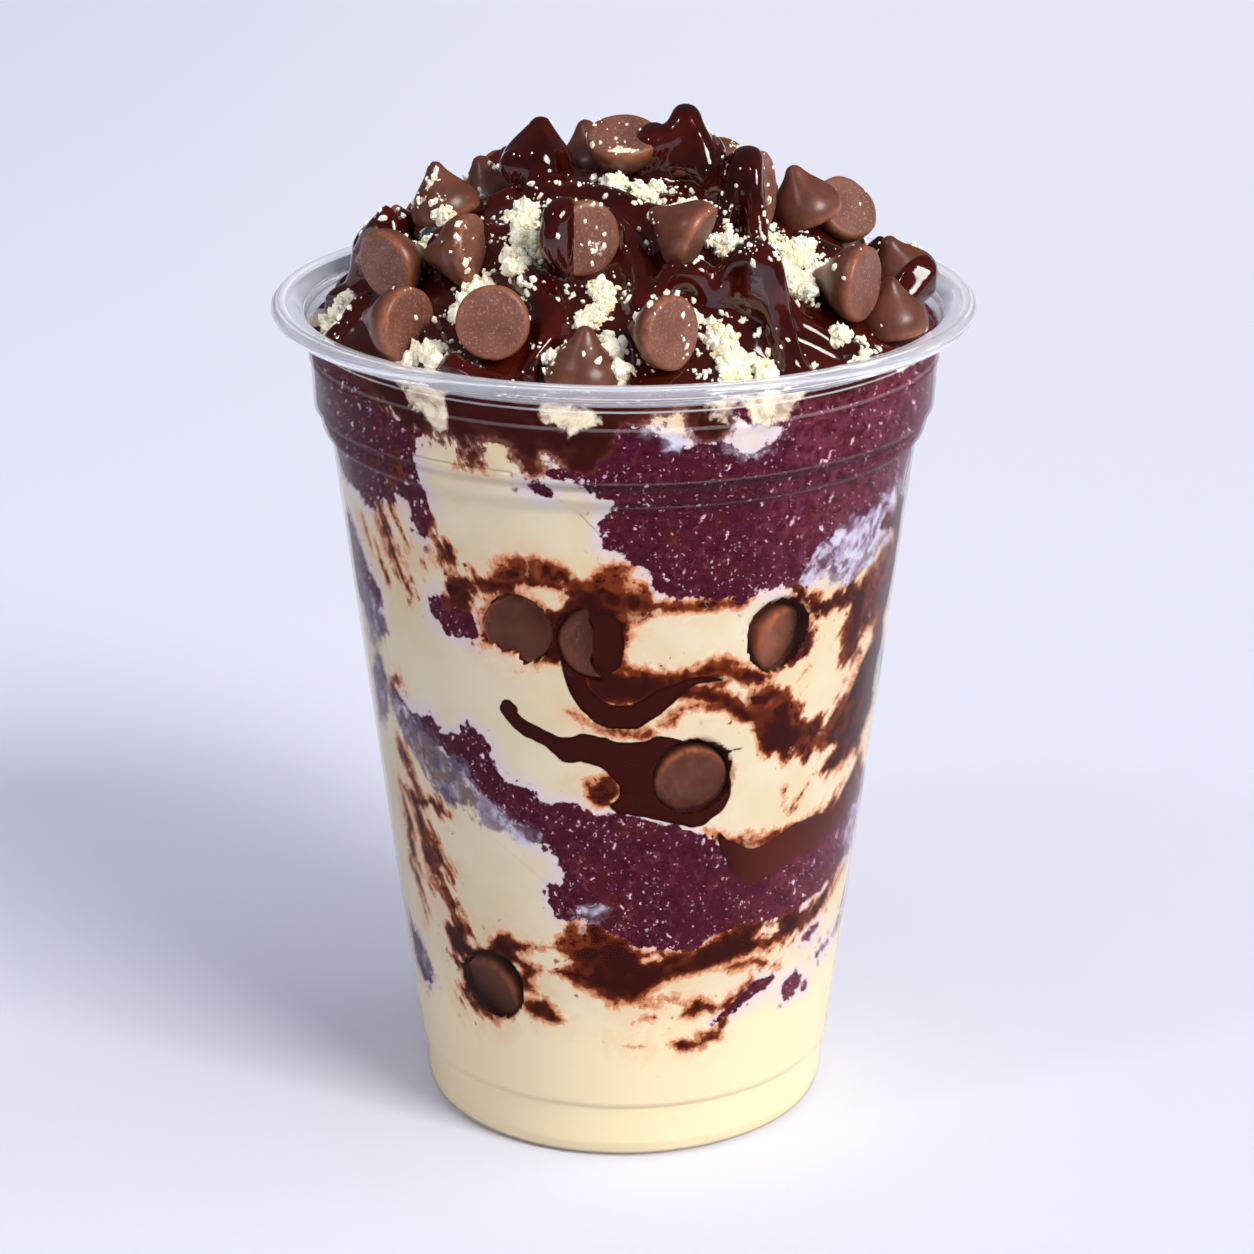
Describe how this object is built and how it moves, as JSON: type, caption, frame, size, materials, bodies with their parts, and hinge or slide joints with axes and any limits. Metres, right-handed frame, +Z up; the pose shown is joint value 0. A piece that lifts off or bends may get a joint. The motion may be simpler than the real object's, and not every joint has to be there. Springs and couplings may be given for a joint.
{
  "type": "acai cup",
  "caption": "Clear tapered plastic cup filled with swirled layers of cream and acai, heaped with chocolate chips, chocolate sauce and milk powder.",
  "frame": {"origin": "middle of the cup's foot, on the surface that it stands on", "axes": "+Z up along the cup's axis, -Y towards the shown front, +X to the right"},
  "size_m": [0.098, 0.098, 0.1454],
  "materials": {
    "clear_plastic": "thin clear plastic, polished",
    "cream": "smooth milk cream, moist",
    "acai": "frozen acai puree with fine ice crystals",
    "sauce": "glossy thick chocolate sauce",
    "chip": "milk chocolate, satin, dusted on the flat base",
    "milk_powder": "dry clumped milk powder"
  },
  "bodies": {
    "root": {"cup": "clear_plastic", "cream_base": "cream", "acai_lower": "acai", "cream_middle": "cream", "acai_upper": "acai", "topping_mound": "sauce", "chip_01": "chip", "chip_02": "chip", "chip_03": "chip", "chip_04": "chip", "chip_05": "chip", "chip_06": "chip", "chip_07": "chip", "chip_08": "chip", "chip_09": "chip", "chip_10": "chip", "chip_11": "chip", "chip_12": "chip", "chip_13": "chip", "chip_14": "chip", "chip_15": "chip", "chip_16": "chip", "chip_17": "chip", "chip_18": "chip", "chip_19": "chip", "chip_20": "chip", "chip_21": "chip", "chip_22": "chip", "chip_23": "chip", "chip_24": "chip", "chip_25": "chip", "chip_26": "chip", "chip_27": "chip", "chip_28": "chip", "chip_29": "chip", "chip_30": "chip", "chip_31": "chip", "chip_32": "chip", "chip_33": "chip", "chip_34": "chip", "chip_35": "chip", "chip_36": "chip", "chip_37": "chip", "chip_38": "chip", "chip_39": "chip", "chip_40": "chip", "chip_41": "chip", "chip_42": "chip", "chip_43": "chip", "chip_44": "chip", "chip_45": "chip", "chip_46": "chip"}
  },
  "joints": []
}
